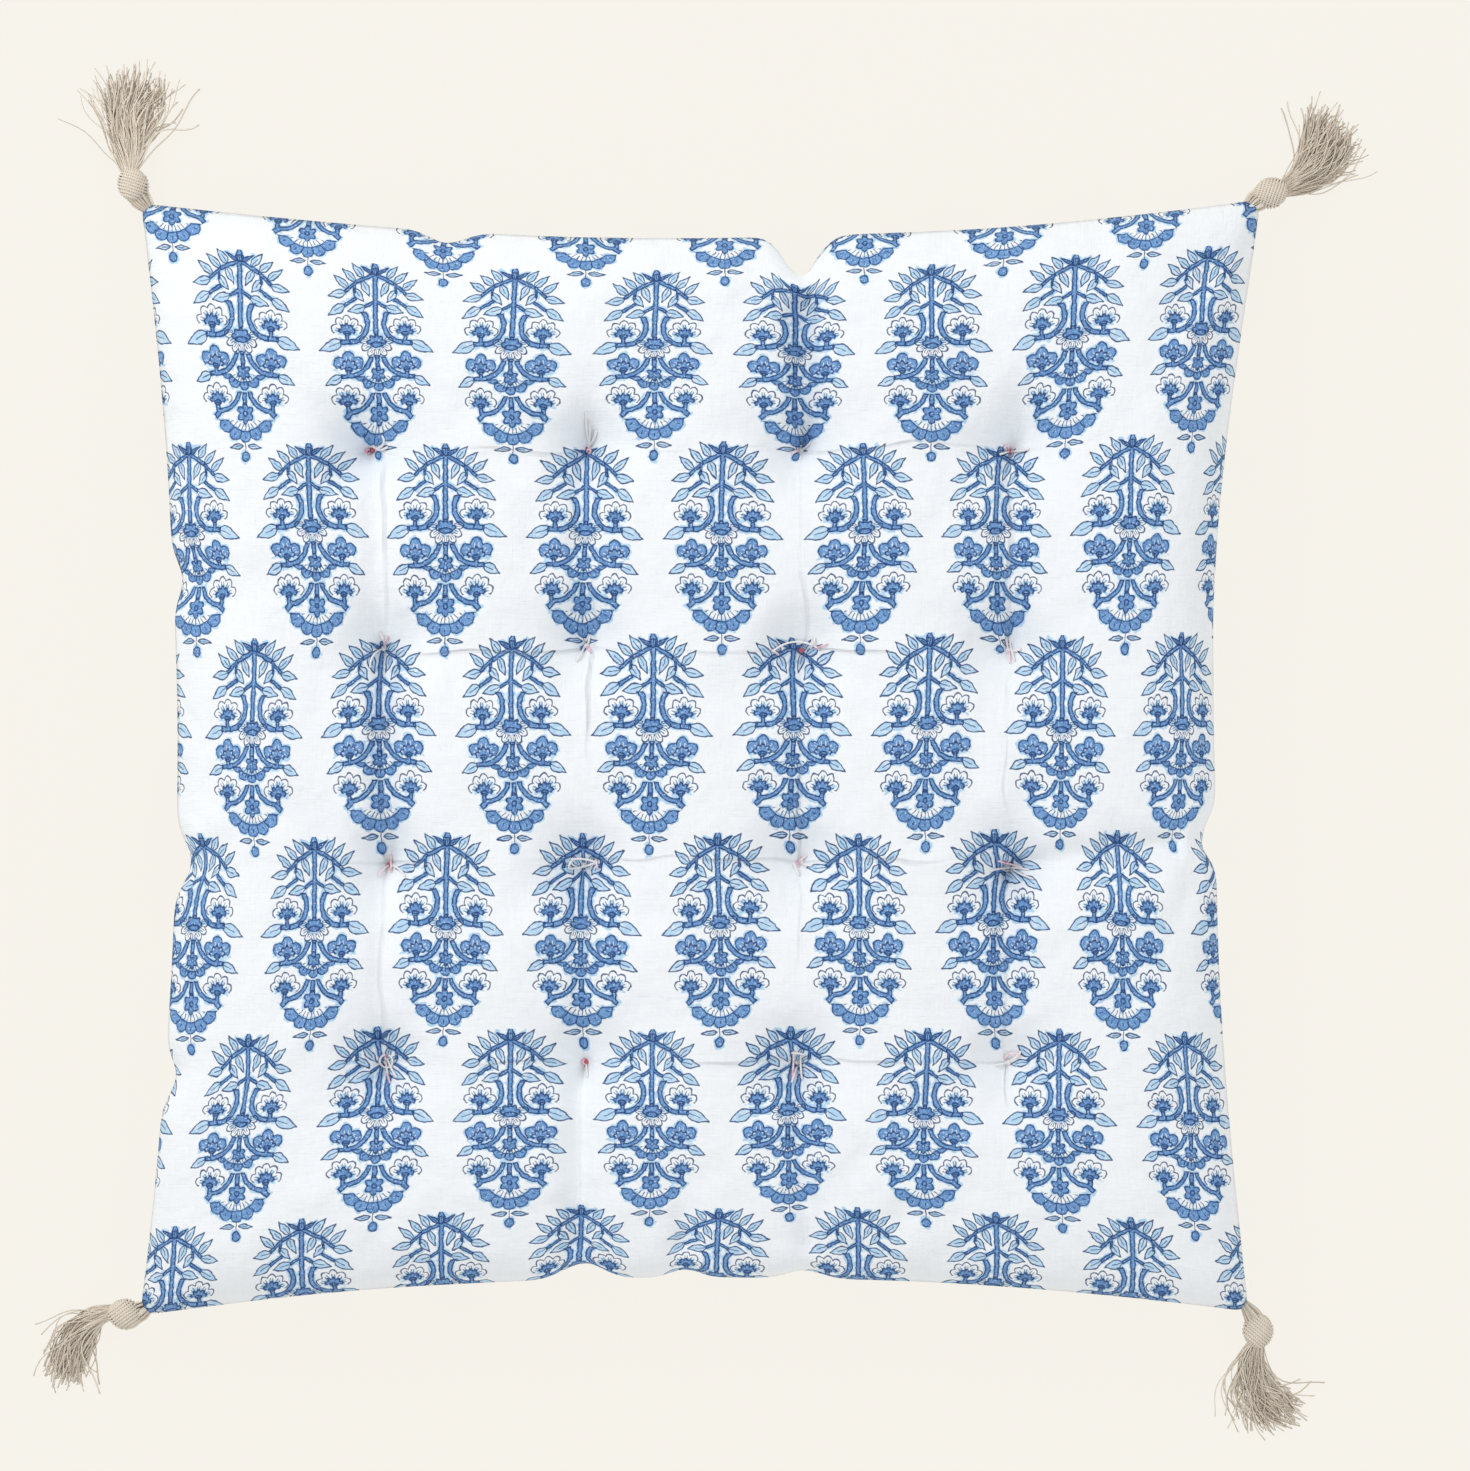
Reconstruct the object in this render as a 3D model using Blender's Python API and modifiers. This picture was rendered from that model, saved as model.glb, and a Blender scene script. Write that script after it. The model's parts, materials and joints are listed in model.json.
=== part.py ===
"""Tufted floor cushion with a tassel at each corner.

Two square cotton panels are sewn together round the edge, with the seam allowance turned inside
and overlocked. Three layers of cotton wadding fill the cover. Sixteen thread ties pass through
the whole stack on a square grid, and a knotted linen tassel is caught in the seam at each corner.

Metres, +Z up. The cushion lies on z = 0, and the origin is the centre of its underside.
The side towards -Y is the front.
"""

import math

import bmesh
import bpy
from mathutils import Matrix, Vector

# Cover
CORNER_SPAN = 0.585  # along one side, from seam corner to seam corner
WAIST_PULL = 0.020  # how far the filling draws in the middle of each side
LOFT = 0.070  # height of the stuffed crown above the floor
SEAM_HEIGHT = 0.031  # seam above the floor along the sides
CORNER_SEAM_HEIGHT = 0.015  # and at the corners, which droop
CLOTH = 0.0006  # thickness of the cotton
SEAM_ALLOWANCE = 0.010  # cloth turned inside the seam
FOLD_SETBACK = 0.0012  # from the seam to the inside of its fold
OVERLOCK_WIDTH = 0.0008  # thread laid over the raw edges of the allowance
GAP = 0.0003  # left between pieces that touch

# Form of the stuffed cover
EDGE_POWER = 10  # how far the crown reaches towards the seam: higher is further
EDGE_ROUNDING = 0.38  # how upright the sides stand at the seam: lower is more upright
CORNER_PINCH = 0.35  # share of the top's height lost at the very corners
UNDERSIDE_SPREAD = 1.15  # how far out the floor flattens the underside
TOP_DIMPLE = 0.022  # depth of a tie below the crown
UNDERSIDE_DIMPLE = 0.014  # height of a tie above the floor

# Ties
TIE_ROWS = 4
TIE_SPACING = 0.1105
THREAD_RADIUS = 0.0006
STITCH = 0.008  # between the two legs of one tie
KNOT_SWELL = 2.6  # a tie's knot, as a multiple of the thread
TAIL = 0.009  # free end of a tie
TAIL_RISE = 0.005  # how far the tip of a tail stands off the cloth

# Wadding
WADDING_LAYERS = ("wadding_bottom", "wadding_middle", "wadding_top")

# Tassels
NECK_RADIUS = 0.0026
NECK_TAIL = 0.0075  # caught inside the corner seam
NECK_REACH = 0.0035  # from the cover's tip to the swing pivot
KNOT_LENGTH = 0.014  # between the swing pivot and the lift pivot
KNOT_RADIUS = 0.0076
WAIST_RADIUS = 0.0028  # of the yarn between knot and skirt
SKIRT_ROOT_RADIUS = 0.0036
SKIRT_HALF_HEIGHT = 0.0045  # where it lies on the floor
JOINT_CLEARANCE = 0.0004

# Each tassel: corner as (x, y) signs, heading of its knot, turn of the skirt away from the knot,
# bend along the skirt, all in degrees anticlockwise seen from above, then the skirt's length and
# half its width.
TASSELS = {
    "back_left": ((-1, 1), 109, -12, 0, 0.060, 0.023),
    "back_right": ((1, 1), 17, 38, 12, 0.056, 0.022),
    "front_right": ((1, -1), -93, 8, 40, 0.052, 0.019),
    "front_left": ((-1, -1), 162, 38, 60, 0.054, 0.017),
}

HALF = CORNER_SPAN / 2
TIE_STATIONS = [(i - (TIE_ROWS - 1) / 2) * TIE_SPACING for i in range(TIE_ROWS)]
CELLS_BETWEEN_TIES = 3  # of the cover's grid
DIMPLE_REACH = TIE_SPACING / CELLS_BETWEEN_TIES
EDGE_STEPS = (0.40, 0.75, 0.91, 0.97, 1.0)  # shares of the way from the last tie to the seam


def grid_stations():
    """Where the grid lines of the cover run along one axis, from seam to seam."""
    outer_tie = TIE_STATIONS[-1]
    between = [
        tie + DIMPLE_REACH * step
        for tie in TIE_STATIONS[:-1]
        for step in range(CELLS_BETWEEN_TIES)
    ]
    beyond = [outer_tie + (HALF - outer_tie) * step for step in EDGE_STEPS]
    return [-x for x in reversed(beyond)] + between + [outer_tie] + beyond


STATIONS = grid_stations()
SEGMENTS = len(STATIONS) - 1
WADDING_INSET = 2  # grid lines between the seam and the wadding


# ---- Form of the cover -------------------------------------------------------------------


def plan(a, b):
    """Where a point of the flat square lies in plan, once the filling has pulled the sides in."""
    u, v = a / HALF, b / HALF
    return a - WAIST_PULL * (1 - v * v) * u**3, b - WAIST_PULL * (1 - u * u) * v**3


def seam_height(a, b):
    corner = abs(a * b / HALF**2) ** 3
    return SEAM_HEIGHT + (CORNER_SEAM_HEIGHT - SEAM_HEIGHT) * corner


def puff(a, b):
    """Share of the full height that the filling reaches: 0 on the seam, 1 over the middle."""
    u, v = min(1, abs(a) / HALF), min(1, abs(b) / HALF)
    return ((1 - u**EDGE_POWER) * (1 - v**EDGE_POWER)) ** EDGE_ROUNDING


def dimple(a, b):
    """1 at a tie, falling to 0 at the next grid line."""
    nearest = min(
        math.hypot(a - tie_a, b - tie_b)
        for tie_a in TIE_STATIONS
        for tie_b in TIE_STATIONS
    )
    return max(0.0, 1 - nearest / DIMPLE_REACH)


def top_height(a, b):
    seam, full = seam_height(a, b), puff(a, b)
    pinch = 1 - CORNER_PINCH * abs(a * b / HALF**2) ** 6
    return seam + GAP / 2 + (LOFT - seam - GAP / 2) * full * pinch - TOP_DIMPLE * dimple(a, b)


def underside_height(a, b):
    seam, full = seam_height(a, b), min(1, UNDERSIDE_SPREAD * puff(a, b))
    return (seam - GAP / 2) * (1 - full) + UNDERSIDE_DIMPLE * dimple(a, b)


# ---- Scene helpers -----------------------------------------------------------------------


def clear_scene():
    for obj in list(bpy.data.objects):
        bpy.data.objects.remove(obj, do_unlink=True)


def new_collection(name):
    collection = bpy.data.collections.new(name)
    bpy.context.scene.collection.children.link(collection)
    return collection


def new_material(name, colour, roughness):
    material = bpy.data.materials.new(name)
    material.use_nodes = True
    shader = material.node_tree.nodes["Principled BSDF"]
    shader.inputs["Base Color"].default_value = (*colour, 1)
    shader.inputs["Roughness"].default_value = roughness
    shader.inputs["Metallic"].default_value = 0
    return material


def add_object(name, bm, collection, material=None):
    mesh = bpy.data.meshes.new(name)
    bm.to_mesh(mesh)
    bm.free()
    obj = bpy.data.objects.new(name, mesh)
    collection.objects.link(obj)
    if material:
        mesh.materials.append(material)
    return obj


def smooth(obj, crease_degrees=40):
    obj.data.shade_smooth()
    obj.data.set_sharp_from_angle(angle=math.radians(crease_degrees))


def point_outwards(bm):
    bmesh.ops.recalc_face_normals(bm, faces=bm.faces)


# ---- Cover panels ------------------------------------------------------------------------


def station_of(vert):
    """The (a, b) of a vertex of the unit grid, which runs from -1 to 1."""
    i = round((vert.co.x + 1) / 2 * SEGMENTS)
    j = round((vert.co.y + 1) / 2 * SEGMENTS)
    return STATIONS[i], STATIONS[j]


def unit_grid(cells=SEGMENTS):
    """A square grid of triangles from -1 to 1, each cell split along the way to its corner."""
    bm = bmesh.new()
    bmesh.ops.create_grid(bm, x_segments=cells, y_segments=cells, size=1)
    for face in list(bm.faces):
        corners = list(face.verts)
        nearest = min(corners, key=lambda vert: (round(vert.co.length, 6), vert.co.x))
        furthest = corners[(corners.index(nearest) + 2) % 4]
        bmesh.utils.face_split(face, nearest, furthest)
    return bm


def surface(height):
    """The outside of a panel as {(a, b): (point, upward normal)}."""
    bm = unit_grid()
    places = {vert: station_of(vert) for vert in bm.verts}
    for vert, (a, b) in places.items():
        vert.co = (*plan(a, b), height(a, b))
    bm.normal_update()
    upward = {
        place: (vert.co.copy(), vert.normal * math.copysign(1, vert.normal.z))
        for vert, place in places.items()
    }
    bm.free()
    return upward


def turn_in_rim(bm):
    """Adds the seam allowance, with its free edge twice as far out as the seam for now."""
    rim = [edge for edge in bm.edges if edge.is_boundary]
    for item in bmesh.ops.extrude_edge_only(bm, edges=rim)["geom"]:
        if isinstance(item, bmesh.types.BMVert):
            item.co *= 2


def second_side(bm):
    """Doubles every face into a closed shell of no thickness and returns the new vertices."""
    copied = bmesh.ops.extrude_face_region(bm, geom=list(bm.faces), use_keep_orig=True)
    return {item for item in copied["geom"] if isinstance(item, bmesh.types.BMVert)}


def take_in(vert):
    """Brings a vertex of the allowance's free edge back to the seam; True if it was one."""
    in_allowance = max(abs(vert.co.x), abs(vert.co.y)) > 1.5
    if in_allowance:
        vert.co /= 2
    return in_allowance


def inside_seam(a, b, distance):
    """In plan, the point that lies that distance inside the point (a, b) of the seam."""
    scale = 1 - distance / HALF
    return plan(a * scale, b * scale)


def build_panel(name, outside, side, collection, material):
    """One cloth panel with its seam allowance turned in. The side is 1 on top, -1 underneath."""
    bm = unit_grid()
    turn_in_rim(bm)
    lining = second_side(bm)
    for vert in bm.verts:
        in_allowance = take_in(vert)
        a, b = station_of(vert)
        point, normal = outside[a, b]
        inward = side * CLOTH if vert in lining else 0
        on_seam = max(abs(a), abs(b)) > HALF - 1e-6
        if in_allowance:
            vert.co = (*inside_seam(a, b, SEAM_ALLOWANCE), point.z + inward)
        elif on_seam:
            set_back = FOLD_SETBACK if vert in lining else 0
            vert.co = (*inside_seam(a, b, set_back), point.z + inward)
        else:
            vert.co = point - normal * inward
    point_outwards(bm)
    panel = add_object(name, bm, collection, material)
    smooth(panel)
    return panel


def build_overlock(collection, material):
    """Thread over the raw edges of both allowances, as one band round the inside of the seam."""
    bm = unit_grid()
    panel = list(bm.faces)
    turn_in_rim(bm)
    bmesh.ops.delete(bm, geom=panel, context="FACES")
    upper = second_side(bm)
    outer = SEAM_ALLOWANCE + GAP
    half_height = CLOTH + GAP / 2
    for vert in bm.verts:
        distance = outer + OVERLOCK_WIDTH if take_in(vert) else outer
        a, b = station_of(vert)
        level = half_height if vert in upper else -half_height
        vert.co = (*inside_seam(a, b, distance), seam_height(a, b) + level)
    point_outwards(bm)
    add_object("seam_overlock", bm, collection, material)


# ---- Wadding -----------------------------------------------------------------------------


def against(outside, side):
    """Where the filling meets a panel: inside its cloth by the gap."""
    clear = side * (CLOTH + GAP)
    return {place: point - normal * clear for place, (point, normal) in outside.items()}


def build_wadding(name, layer, ceiling, floor, collection, material):
    """One layer of the filling, as an equal share of the height between the panels."""
    share = 1 / len(WADDING_LAYERS)
    cells = SEGMENTS - 2 * WADDING_INSET
    bm = unit_grid(cells)
    upper = second_side(bm)
    for vert in bm.verts:
        i = round((vert.co.x + 1) / 2 * cells) + WADDING_INSET
        j = round((vert.co.y + 1) / 2 * cells) + WADDING_INSET
        place = (STATIONS[i], STATIONS[j])
        low, high = floor[place], ceiling[place]
        clear = GAP / 2 / (high - low).length
        if vert in upper:
            level = 1 if layer == len(WADDING_LAYERS) - 1 else (layer + 1) * share - clear
        else:
            level = 0 if layer == 0 else layer * share + clear
        vert.co = low.lerp(high, level)
    point_outwards(bm)
    wadding = add_object(name, bm, collection, material)
    smooth(wadding)
    return wadding


# ---- Ties --------------------------------------------------------------------------------


def build_tie(name, a, b, collection, material):
    """One thread: knotted on top, down through the cushion, along the underside and back up."""
    x, y = plan(a, b)
    leg = STITCH / 2
    clearance = THREAD_RADIUS + GAP
    knot_z = top_height(a, b) + leg * TOP_DIMPLE / DIMPLE_REACH + clearance
    bar_z = underside_height(a, b) - leg * UNDERSIDE_DIMPLE / DIMPLE_REACH - clearance
    knot_radius = THREAD_RADIUS * KNOT_SWELL
    over = knot_z + knot_radius + 2 * THREAD_RADIUS + GAP
    route = [
        ((0, -TAIL, knot_z + TAIL_RISE), 1),
        ((0, -2 * knot_radius, knot_z + THREAD_RADIUS), 1),
        ((0, -knot_radius * 0.8, knot_z), KNOT_SWELL),
        ((0, knot_radius * 0.4, knot_z), KNOT_SWELL),
        ((-leg * 0.7, 0, knot_z), 1),
        ((-leg, 0, knot_z - THREAD_RADIUS), 1),
        ((-leg, 0, bar_z + THREAD_RADIUS), 1),
        ((-leg * 0.85, 0, bar_z), 1),
        ((leg * 0.85, 0, bar_z), 1),
        ((leg, 0, bar_z + THREAD_RADIUS), 1),
        ((leg, 0, knot_z), 1),
        ((leg * 0.7, 0, over), 1),
        ((0, knot_radius, over + THREAD_RADIUS), 1),
        ((0, TAIL, knot_z + TAIL_RISE), 1),
    ]
    data = bpy.data.curves.new(name, "CURVE")
    data.dimensions = "3D"
    data.bevel_depth = THREAD_RADIUS
    data.bevel_resolution = 0
    data.use_fill_caps = True
    spline = data.splines.new("POLY")
    spline.points.add(len(route) - 1)
    for point, (place, swell) in zip(spline.points, route, strict=True):
        point.co = (*place, 1)
        point.radius = swell
    data.materials.append(material)
    tie = bpy.data.objects.new(name, data)
    tie.location = (x, y, 0)
    collection.objects.link(tie)


def tie_holes(collection):
    """One cutter for the two needle holes of every tie."""
    bm = bmesh.new()
    for a in TIE_STATIONS:
        for b in TIE_STATIONS:
            x, y = plan(a, b)
            for side in (-1, 1):
                bmesh.ops.create_cone(
                    bm,
                    cap_ends=True,
                    segments=4,
                    radius1=hole_radius(),
                    radius2=hole_radius(),
                    depth=2 * LOFT,
                    matrix=Matrix.Translation((x + side * STITCH / 2, y, LOFT / 2)),
                )
    return add_cutter("tie_holes", bm, collection)


def hole_radius():
    """Corner radius of a square hole whose sides clear the thread by the gap."""
    return (THREAD_RADIUS + GAP) * math.sqrt(2)


def add_cutter(name, bm, collection):
    cutter = add_object(name, bm, collection)
    cutter.hide_render = True
    cutter.display_type = "WIRE"
    return cutter


def cut(obj, cutter):
    modifier = obj.modifiers.new(cutter.name, "BOOLEAN")
    modifier.operation = "DIFFERENCE"
    modifier.object = cutter


# ---- Tassels -----------------------------------------------------------------------------


def corner_tip(signs):
    x, y = plan(signs[0] * HALF, signs[1] * HALF)
    return Vector((x, y, CORNER_SEAM_HEIGHT))


def diagonal(signs):
    return math.atan2(signs[1], signs[0])


def along_x():
    """Turns a shape made round the Z axis to lie along X."""
    return Matrix.Rotation(math.pi / 2, 4, "Y")


def heading(radians):
    return Matrix.Rotation(radians, 4, "Z")


def pivot(name, matrix, parent, collection):
    empty = bpy.data.objects.new(name, None)
    empty.empty_display_size = 0.01
    collection.objects.link(empty)
    empty.parent = parent
    empty.matrix_local = matrix
    return empty


def corner_openings(collection):
    """One cutter for the gaps in the corner seams that the tassel necks come through."""
    bm = bmesh.new()
    length = NECK_TAIL + 2 * NECK_REACH
    for signs, *_ in TASSELS.values():
        centre = Matrix.Translation(corner_tip(signs)) @ heading(diagonal(signs))
        shift = Matrix.Translation((length / 2 - NECK_TAIL - GAP, 0, 0))
        bmesh.ops.create_cone(
            bm,
            cap_ends=True,
            segments=12,
            radius1=NECK_RADIUS + GAP,
            radius2=NECK_RADIUS + GAP,
            depth=length,
            matrix=centre @ shift @ along_x(),
        )
    return add_cutter("corner_openings", bm, collection)


def build_neck(name, signs, collection, material):
    """The folded yarn that the seam holds: a rod with a round end on the swing pivot."""
    bm = bmesh.new()
    bmesh.ops.create_uvsphere(bm, u_segments=10, v_segments=6, radius=NECK_RADIUS)
    for vert in bm.verts:
        if vert.co.z < -NECK_RADIUS / 10:
            vert.co.z -= NECK_TAIL + NECK_REACH - NECK_RADIUS
    neck = add_object(name, bm, collection, material)
    end = corner_tip(signs) + heading(diagonal(signs)) @ Vector((NECK_REACH, 0, 0))
    neck.matrix_world = Matrix.Translation(end) @ heading(diagonal(signs)) @ along_x()
    smooth(neck)


def arc_section(radius, rise, centre, degrees):
    """Points (radius, distance along) of an elliptical arc about a point on the axis."""
    turns = [math.radians(d) for d in degrees]
    return [(radius * math.cos(t), centre + rise * math.sin(t)) for t in turns]


def knot_profile():
    """Half section of a knot, as (radius, distance from the swing pivot), far end first."""
    near = NECK_RADIUS + JOINT_CLEARANCE
    shoulder = KNOT_LENGTH - WAIST_RADIUS
    middle = (shoulder + near) / 2
    return [
        *arc_section(WAIST_RADIUS, WAIST_RADIUS, KNOT_LENGTH, (90, 60, 30, 0)),
        (WAIST_RADIUS, shoulder),
        *arc_section(KNOT_RADIUS, middle - near, middle, (70, 40, 10, -20, -50)),
        (NECK_RADIUS, near),
        (0, near),
    ]


def build_knot(name, parent, collection, material):
    """The wound head of a tassel, turned from a half section round the tassel's line."""
    bm = bmesh.new()
    verts = [bm.verts.new((radius, 0, along)) for radius, along in knot_profile()]
    for first, second in zip(verts, verts[1:]):
        bm.edges.new((first, second))
    knot = add_object(name, bm, collection, material)
    turn = knot.modifiers.new("turn", "SCREW")
    turn.axis = "Z"
    turn.steps = turn.render_steps = 14
    turn.use_merge_vertices = True
    turn.merge_threshold = 0.00001
    turn.use_smooth_shade = True
    knot.parent = parent
    knot.matrix_local = along_x()


def build_skirt(name, parent, bend_degrees, length, half_width, collection, material):
    """The loose yarns below the knot, as one bundle that spreads and lies down on the floor."""
    start = WAIST_RADIUS + JOINT_CLEARANCE
    bm = bmesh.new()
    bmesh.ops.create_cone(
        bm,
        cap_ends=True,
        segments=12,
        radius1=1,
        radius2=1,
        depth=1,
        matrix=Matrix.Translation((0.5, 0, 0)) @ along_x(),
    )
    long_edges = [e for e in bm.edges if abs(e.verts[0].co.x - e.verts[1].co.x) > 0.5]
    bmesh.ops.subdivide_edges(bm, edges=long_edges, cuts=4, use_grid_fill=True)
    drop = CORNER_SEAM_HEIGHT - SKIRT_HALF_HEIGHT - GAP
    for vert in bm.verts:
        share, side, up = vert.co
        ease = math.sin(share * math.pi / 2)
        wide = SKIRT_ROOT_RADIUS + (half_width - SKIRT_ROOT_RADIUS) * share
        high = SKIRT_ROOT_RADIUS + (SKIRT_HALF_HEIGHT - SKIRT_ROOT_RADIUS) * share
        angle = math.radians(bend_degrees) * share
        x, y = arc_point(length * share, angle)
        vert.co = (
            start + x - math.sin(angle) * side * wide,
            y + math.cos(angle) * side * wide,
            up * high - drop * ease,
        )
    point_outwards(bm)
    skirt = add_object(name, bm, collection, material)
    skirt.parent = parent
    smooth(skirt)


def arc_point(length, angle):
    """End of an arc of that length that starts along X and turns by that angle."""
    if abs(angle) < 1e-6:
        return length, 0
    radius = length / angle
    return radius * math.sin(angle), radius * (1 - math.cos(angle))


def build_tassel(corner, collection, material):
    signs, knot_heading, skirt_turn, skirt_bend, length, half_width = TASSELS[corner]
    end = corner_tip(signs) + heading(diagonal(signs)) @ Vector((NECK_REACH, 0, 0))
    knot_frame = Matrix.Translation(end) @ heading(math.radians(knot_heading))
    swing = pivot(f"swing_pivot_{corner}", knot_frame, None, collection)
    skirt_frame = Matrix.Translation((KNOT_LENGTH, 0, 0)) @ heading(math.radians(skirt_turn))
    lift = pivot(f"lift_pivot_{corner}", skirt_frame, swing, collection)
    build_neck(f"tassel_neck_{corner}", signs, collection, material)
    build_knot(f"tassel_knot_{corner}", swing, collection, material)
    skirt = f"tassel_skirt_{corner}"
    build_skirt(skirt, lift, skirt_bend, length, half_width, collection, material)


# ---- Assembly ----------------------------------------------------------------------------


def main():
    clear_scene()
    parts = new_collection("floor_cushion")
    cutters = new_collection("cutters")
    print_cotton = new_material("printed_cotton", (0.86, 0.89, 0.94), 0.9)
    cotton_wadding = new_material("cotton_wadding", (0.90, 0.89, 0.85), 1.0)
    thread = new_material("thread", (0.92, 0.88, 0.88), 0.8)
    linen = new_material("linen_yarn", (0.62, 0.55, 0.47), 0.85)

    holes = tie_holes(cutters)
    openings = corner_openings(cutters)
    above, below = surface(top_height), surface(underside_height)
    for panel in (
        build_panel("top_panel", above, 1, parts, print_cotton),
        build_panel("bottom_panel", below, -1, parts, print_cotton),
    ):
        cut(panel, holes)
        cut(panel, openings)
    build_overlock(parts, thread)

    ceiling, floor = against(above, 1), against(below, -1)
    for layer, name in enumerate(WADDING_LAYERS):
        cut(build_wadding(name, layer, ceiling, floor, parts, cotton_wadding), holes)

    for row, b in enumerate(reversed(TIE_STATIONS), start=1):
        for column, a in enumerate(TIE_STATIONS, start=1):
            build_tie(f"tie_row{row}_column{column}", a, b, parts, thread)

    for corner in TASSELS:
        build_tassel(corner, parts, linen)


main()
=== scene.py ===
"""A tufted floor cushion in block-printed cotton, with linen tassels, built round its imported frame."""

import json
import math
import random

import bmesh
import bpy
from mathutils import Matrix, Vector, noise
from mathutils.bvhtree import BVHTree


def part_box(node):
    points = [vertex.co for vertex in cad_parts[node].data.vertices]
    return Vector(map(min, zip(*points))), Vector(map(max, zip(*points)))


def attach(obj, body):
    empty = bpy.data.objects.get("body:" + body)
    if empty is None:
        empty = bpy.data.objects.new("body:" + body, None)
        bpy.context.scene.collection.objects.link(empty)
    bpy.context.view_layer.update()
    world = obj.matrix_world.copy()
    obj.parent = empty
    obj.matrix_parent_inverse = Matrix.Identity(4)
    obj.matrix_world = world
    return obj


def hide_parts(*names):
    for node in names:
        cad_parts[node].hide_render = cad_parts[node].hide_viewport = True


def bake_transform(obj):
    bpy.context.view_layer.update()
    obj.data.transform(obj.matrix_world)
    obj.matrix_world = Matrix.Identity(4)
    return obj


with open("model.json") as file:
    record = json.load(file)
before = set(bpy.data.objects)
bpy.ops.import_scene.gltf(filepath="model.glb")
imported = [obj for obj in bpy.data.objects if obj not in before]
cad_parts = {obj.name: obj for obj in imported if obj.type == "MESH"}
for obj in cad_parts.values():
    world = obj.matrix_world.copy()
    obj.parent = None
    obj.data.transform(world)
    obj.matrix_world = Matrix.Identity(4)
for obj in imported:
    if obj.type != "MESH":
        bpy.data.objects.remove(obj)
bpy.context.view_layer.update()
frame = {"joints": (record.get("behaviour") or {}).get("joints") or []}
cushion_low, cushion_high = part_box("top_panel")
side = cushion_high.x - cushion_low.x  # between the corners

# ---- Camera -------------------------------------------------------------------------------
# A long lens looks straight down on the cushion, which lies a little left of the middle and a
# little towards the front of the view.

VIEW_WIDTH = 0.7775  # of the floor, seen from side to side
CAMERA_HEIGHT = 3.2
camera_data = bpy.data.cameras.new("camera")
camera_data.sensor_width = 36
camera_data.lens = camera_data.sensor_width * CAMERA_HEIGHT / VIEW_WIDTH
camera = bpy.data.objects.new("camera", camera_data)
camera.location = (0.0195, 0.0115, CAMERA_HEIGHT)
bpy.context.scene.collection.objects.link(camera)
bpy.context.scene.camera = camera

# ---- Floor and light ----------------------------------------------------------------------
# A warm white studio floor, and light so broad and even that it leaves hardly any shadow.

scene = bpy.context.scene
scene.view_settings.view_transform = "Standard"
scene.world = bpy.data.worlds.new("studio")
scene.world.use_nodes = True
scene.world.node_tree.nodes["Background"].inputs["Color"].default_value = (1, 1, 1, 1)
scene.world.node_tree.nodes["Background"].inputs["Strength"].default_value = 0.74


def softbox(name, location, size, energy):
    """A square lamp that faces the middle of the cushion."""
    data = bpy.data.lights.new(name, "AREA")
    data.size = size
    data.energy = energy
    lamp = bpy.data.objects.new(name, data)
    lamp.location = location
    lamp.rotation_euler = (-Vector(location)).to_track_quat("-Z", "Y").to_euler()
    scene.collection.objects.link(lamp)


softbox("key_light", (-1.4, 1.6, 1.9), 1.3, 30)
softbox("fill_light", (1.8, -1.2, 2.2), 2.0, 10)

bpy.ops.mesh.primitive_plane_add(size=60)
floor = bpy.context.object
floor.name = "floor"
paint = bpy.data.materials.new("warm_white_floor")
paint.use_nodes = True
shader = paint.node_tree.nodes["Principled BSDF"]
shader.inputs["Base Color"].default_value = (0.05, 0.05, 0.05, 1)
shader.inputs["Roughness"].default_value = 1
shader.inputs["Specular IOR Level"].default_value = 0
shader.inputs["Emission Color"].default_value = (0.925, 0.895, 0.83, 1)
shader.inputs["Emission Strength"].default_value = 0.945
floor.data.materials.append(paint)

# ---- Cover --------------------------------------------------------------------------------
# Two squares of cotton, sewn together round the edge and filled. The filling swells between the
# ties, draws the sides in and leaves the cloth slack, so it creases towards every tie.

CUT = 0.602  # side of each square of cotton
CELLS = 108  # of the cloth's mesh, along each side
SLACK = 1.02  # of the cloth that the filling doesn't take up
BED = 0.004  # height under which the cushion settles flat against the floor
SEAM_HEIGHT = 0.031  # at the middle of a side
CORNER_HEIGHT = 0.015  # of the seam, at a corner
CROWN = 0.062  # height of the top before the pressure swells it
DRAWN_IN = 0.020  # how far the filling pulls in the middle of each side
DIMPLE_WIDTH, DIMPLE_TOP, DIMPLE_UNDER = 0.020, 0.021, 0.014  # round each tie
GATHER = 0.008  # width over which a tie draws the cloth to itself
CREASE_WIDTH = 0.006
NOTCH_FADE = 0.03  # how far in from the seam a notch reaches
UNEVEN = 0.003  # of the filling, up and down
BLUNT = 0.0034  # cut off each corner where it is sewn across
SETTLE_FRAMES = 30  # for the cloth to come to rest
TINY = 1e-5
TIE_ROWS = (  # metres from the middle, back row first
    ((-0.170, 0.161), (-0.057, 0.161), (0.054, 0.160), (0.163, 0.160)),
    ((-0.164, 0.057), (-0.058, 0.058), (0.054, 0.056), (0.162, 0.056)),
    ((-0.161, -0.056), (-0.059, -0.056), (0.054, -0.055), (0.162, -0.057)),
    ((-0.163, -0.159), (-0.058, -0.159), (0.052, -0.159), (0.162, -0.159)),
)
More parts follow.
